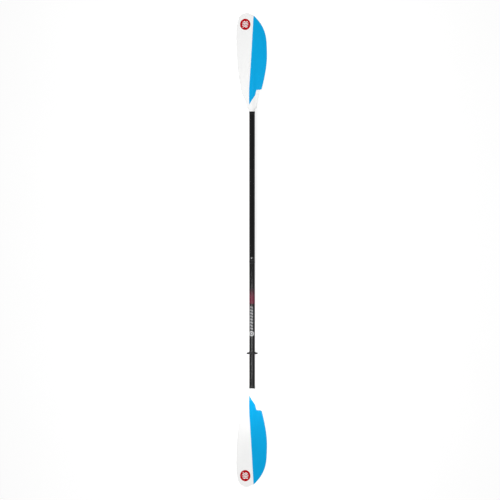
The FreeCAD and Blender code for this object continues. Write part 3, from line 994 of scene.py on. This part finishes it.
def ferrule_cap():
    """The cap: a hollow plug in the ferrule, and a flange with a sloped rim."""
    start, end = x_span("ferrule_cap")
    flange, recess, wall, lead = end - 2.0, start + 8, 2.0, 0.8
    slope_run, slope_drop, face_drop, face_inset = 0.7, 1.6, 4.0, 0.25
    profile = [
        (recess, 0), (recess, FERRULE_BORE_R - wall), (start, FERRULE_BORE_R - wall),
        (start, FERRULE_BORE_R - 0.3), (start + lead, FERRULE_BORE_R), (flange, FERRULE_BORE_R),
        (flange, FERRULE_R), (end - slope_run, FERRULE_R), (end, FERRULE_R - slope_drop),
        (end - face_inset, FERRULE_R - face_drop), (end - face_inset, 0)]
    piece = turned("ferrule_cap_plug", soften(profile, 0.4, closed=False), closed=False)
    fit(piece, "lower_half", "cap_black", "ferrule_cap")


def joint_collar():
    """The spacer ring between the tubes, with two shallow grooves."""
    start, end = x_span("joint_collar")
    outer = TUBE_R + COLLAR_PROUD
    inner = FERRULE_R + FERRULE_CLEARANCE
    groove_half, floor_half, groove_depth = 0.7, 0.35, 0.45
    profile = [(start, inner), (start, outer)]
    for share in (0.3, 0.7):
        middle = start + share * (end - start)
        profile += [(middle - groove_half, outer), (middle - floor_half, outer - groove_depth),
                    (middle + floor_half, outer - groove_depth), (middle + groove_half, outer)]
    profile += [(end, outer), (end, inner)]
    piece = turned("joint_collar_ring", soften(profile, 0.35))
    fit(piece, "collar", "collar_grey", "joint_collar")


def snap_button():
    """The button: a domed pin with a worn rim, on a flange that stays inside the ferrule."""
    low, high = corners("snap_button")
    shoulder = sqrt(TUBE_R**2 - BUTTON_R**2)
    flange_r = (high.x - low.x) / 2
    flange_top = low.z + 1.2
    dome_steps, dome_r, dome_drop = 9, BUTTON_R - 0.35, high.z - shoulder - 0.1
    dome = [(high.z - dome_drop * share**2, dome_r * share, 0.0)
            for share in even_steps(0, 1, dome_steps)[:-1]]
    rim = [(shoulder - drop, BUTTON_R - inset, wear)
           for drop, inset, wear in ((0, 0.22, 0.9), (0.2, 0.06, 1.0), (0.5, 0, 0.4))]
    flange = soften([
        (shoulder - 1.5, BUTTON_R), (flange_top, BUTTON_R), (flange_top, flange_r),
        (low.z, flange_r), (low.z, 0)], 0.25, closed=False)
    piece = turned("snap_button_pin", dome + rim + flange, closed=False,
                   origin=(BUTTON_X, 0, 0), turn=Matrix.Identity(3))
    fit(piece, "button", "button_steel", "snap_button")


def button_spring():
    """A U-shaped leaf: one leg under the button and the other on the ferrule's far wall."""
    low, high = corners("button_spring")
    thick, chamfer = 0.6, 0.12
    leg_steps, bend_steps, tip_length = 6, 24, 4.0
    top, bottom = high.z - thick / 2, low.z + thick / 2
    bend = (top - bottom) / 2
    bend_x = low.x + thick / 2 + bend
    leg = even_steps(bend_x, high.x, leg_steps)
    path = [(high.x, top, 0.0), (high.x - tip_length, top, 0.0)]
    path += [(x, top, 0.0) for x in leg[-3:0:-1]]
    for angle in even_steps(0, pi, bend_steps):
        path.append((bend_x - bend * sin(angle),
                     (top + bottom) / 2 + bend * cos(angle), angle))
    path += [(x, bottom, pi) for x in leg[1:]]
    half_w, half_t = (high.y - low.y) / 2, thick / 2
    side = [(half_w - chamfer, -half_t), (half_w, chamfer - half_t),
            (half_w, half_t - chamfer), (half_w - chamfer, half_t)]
    section = side + [(-y, -z) for y, z in side]
    bm, add = new_mesh()
    loops = []
    for x, z, angle in path:
        loop = []
        for y, out in section:
            place = Vector((x - out * sin(angle), y, z + out * cos(angle)))
            wear = 1.0 if abs(y) > half_w - chamfer / 2 else 0.3
            loop.append(add(place, wear))
        loops.append(loop)
    join_row(bm, loops)
    bm.faces.new(loops[0])
    bm.faces.new(loops[-1])
    piece = finished("button_spring_leaf", bm)
    leaf = fit(piece, "lower_half", "spring_steel", "button_spring")
    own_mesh(leaf)


def drip_ring():
    """A rubber ring: a grip on the tube, and a flared flange with a thick rim and a shallow pocket."""
    low, high = corners("drip_ring")
    inner = TUBE_R + 0.05
    outer = inner + 1.9
    rim = high.z
    grip_end = high.x - 8.0
    flare_start, flare_end, flare_r, flare_steps = high.x - 1.8, high.x - 4.4, rim - 0.9, 8
    flare = [(flare_start - (flare_start - flare_end) * sin(turn),
              flare_r - (flare_r - outer) * cos(turn))
             for turn in even_steps(0, pi / 2, flare_steps)]
    lead = [(high.x, inner), (high.x, outer - 0.3), (high.x - 0.5, outer)]
    lip = [(flare_end - 0.5, rim - 0.2), (flare_end - 1.1, rim), (low.x + 1.0, rim),
           (low.x + 0.3, rim - 0.3), (low.x, rim - 1.0), (low.x, rim - 2.6)]
    pocket = [(low.x + 0.6, rim - 3.4), (flare_end - 2.8, rim - 4.2), (flare_end - 2.0, rim - 5.4),
              (flare_end - 1.8, outer + 2.0), (flare_end - 2.4, outer + 0.4)]
    grip = [(grip_end, outer + 0.2), (grip_end, inner)]
    piece = turned("drip_ring_cup", soften(lead + flare + lip + pocket + grip, 0.5))
    fit(piece, "ring", "drip_rubber", "drip_ring")


# ============ markings ============
def film_patch(name, rows):
    """A closed film on the tube over a grid of (x, y), where y is measured around the tube."""
    bm, add = new_mesh()
    grids = []
    for radius in (TUBE_R + FILM, TUBE_R - FILM_SINK):
        grid = []
        for row in rows:
            line = []
            for x, y in row:
                angle = y / TUBE_R
                place = Vector((x, radius * sin(angle), radius * cos(angle)))
                line.append(add(place))
            grid.append(line)
        grids.append(grid)
    close_shell(bm, *grids)
    return finished(name, bm)


def markings():
    """The band, the leaning bars, and the emblem's ring and dot, all on the lower tube."""
    profile = tube_profile(*BAND, TUBE_R + FILM, TUBE_R - FILM_SINK, 0.05)
    fit(turned("shaft_band_film", profile), "lower_half", "band_maroon", "shaft_band")

    low, high = corners("shaft_bars")
    half = TUBE_R * asin(min(1.0, high.y / TUBE_R))
    pitch = (high.x - low.x - BAR_SLANT) / (BAR_COUNT - 1 + BAR_SHARE)
    bars = []
    for i in range(BAR_COUNT):
        start = low.x + i * pitch
        rows = [[(x + BAR_SLANT * share, (share * 2 - 1) * half)
                 for share in even_steps(0, 1, BAR_ACROSS)]
                for x in even_steps(start, start + BAR_SHARE * pitch, BAR_ALONG)]
        bars.append(film_patch(f"shaft_bar_{i + 1}", rows))
    for bar in bars:
        fit(bar, "lower_half", "mark_grey", finish="bar_grey")
    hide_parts("shaft_bars")

    low, high = corners("shaft_emblem")
    radius, middle = (high.x - low.x) / 2, (high.x + low.x) / 2
    rows = [[(middle + radius * share * cos(angle),
              TUBE_R * asin(radius * share * sin(angle) / TUBE_R))
             for share in EMBLEM_SHARES]
            for angle in even_steps(0, tau, EMBLEM_STEPS)]
    fit(film_patch("shaft_emblem_ring", rows), "lower_half", "mark_grey", "shaft_emblem")
    dot_r = radius * EMBLEM_DOT
    dot = [[(middle + dot_r * x, dot_r * y) for x, y in row] for row in disc_grid(12, 12)]
    fit(film_patch("shaft_emblem_dot", dot), "lower_half", "mark_grey")


for half in HALVES:
    blade(half)
    panel(half)
    roundel(half)
    waves(half)
shafts()
end_rings()
foam_plugs()
blade_rivets()
ferrule()
ferrule_cap()
joint_collar()
snap_button()
button_spring()
drip_ring()
markings()


# ============ stage, lights and camera ============
VIEW_TILT = radians(15)          # the camera leans this far from straight above
FRAME_WIDTH = 2.531                   # metres that the camera sees across
LENS, SENSOR = 200.0, 36.0            # mm
AXIS_RIGHT_OF_CENTRE = 0.0106         # metres from the view's middle to the shaft's axis
FLOOR_HALF = 30.0                     # metres
FLOOR_GLOW = 0.84
SKY_STRENGTH = 0.5
LIGHT_SPREAD = radians(60)
LIGHTS = (                            # name, place, target, width, length (metres) and power
    ("upper_end_light", (2.5, 0.35, 2.1), (0.48, 0, 0), 1.6, 1.6, 8.2),
    ("lower_end_light", (-2.5, 0.35, 2.1), (-0.48, 0, 0), 1.6, 1.6, 7.4),
    ("shaft_strip", (-0.44, -0.095, 0.6), (-0.44, 0, 0), 0.06, 0.52, 0.92),
)


def floor():
    """A white studio floor at the paddle's lowest point."""
    z = cad_box[0].z
    corner_signs = ((-1, -1), (1, -1), (1, 1), (-1, 1))
    mesh = bpy.data.meshes.new("studio_floor")
    mesh.from_pydata([(FLOOR_HALF * x, FLOOR_HALF * y, z) for x, y in corner_signs], [], [range(4)])
    made = linked("studio_floor", mesh)
    f = Finish("studio_floor")
    cloud = f.noise(f.place, scale=3, detail=3)
    colour = f.blend(cloud, (0.19, 0.19, 0.19), (0.21, 0.21, 0.21))
    grain = f.noise(f.place, scale=250, detail=2)
    made.data.materials.append(f.done(
        colour, f.spread(cloud, 0.75, 0.85), f.bump(grain, 0.05, 0.5), specular=0.1,
        Emission_Color=(1, 1, 1, 1), Emission_Strength=FLOOR_GLOW))


def placed(made, place, right, up, back):
    """Puts a light or camera at a place, where back is the way that it looks away from."""
    turn = Matrix((right, up, back)).transposed().to_4x4()
    made.matrix_world = Matrix.Translation(place) @ turn


def area_light(name, place, target, width, length, power):
    """A rectangular light that looks at the target, with its length along the shaft."""
    data = bpy.data.lights.new(name, "AREA")
    data.shape = "RECTANGLE"
    data.size = width
    data.size_y = length
    data.spread = LIGHT_SPREAD
    data.energy = power
    back = (Vector(place) - Vector(target)).normalized()
    across = Vector((1, 0, 0)).cross(back).normalized() * -1
    placed(linked(name, data), Vector(place), across, back.cross(across), back)


def lights():
    """An even sky, a soft light beyond each end, and a strip over the lower shaft's marks."""
    world = bpy.data.worlds.new("studio")
    world.use_nodes = True
    sky = world.node_tree.nodes["Background"].inputs
    sky["Color"].default_value = (1, 1, 1, 1)
    sky["Strength"].default_value = SKY_STRENGTH
    bpy.context.scene.world = world
    for light in LIGHTS:
        area_light(*light)


def camera():
    data = bpy.data.cameras.new("camera")
    data.lens = LENS
    data.sensor_width = SENSOR
    data.clip_end = 100
    made = linked("camera", data)
    cosine, sine = cos(VIEW_TILT), sin(VIEW_TILT)
    right = Vector((0, -cosine, -sine))
    up = Vector((1, 0, 0))
    back = Vector((0, -sine, cosine))
    target = right * -AXIS_RIGHT_OF_CENTRE
    placed(made, target + back * (FRAME_WIDTH * LENS / SENSOR), right, up, back)
    bpy.context.scene.camera = made


floor()
lights()
camera()
bpy.context.scene.view_settings.view_transform = "Standard"

bpy.context.view_layer.update()
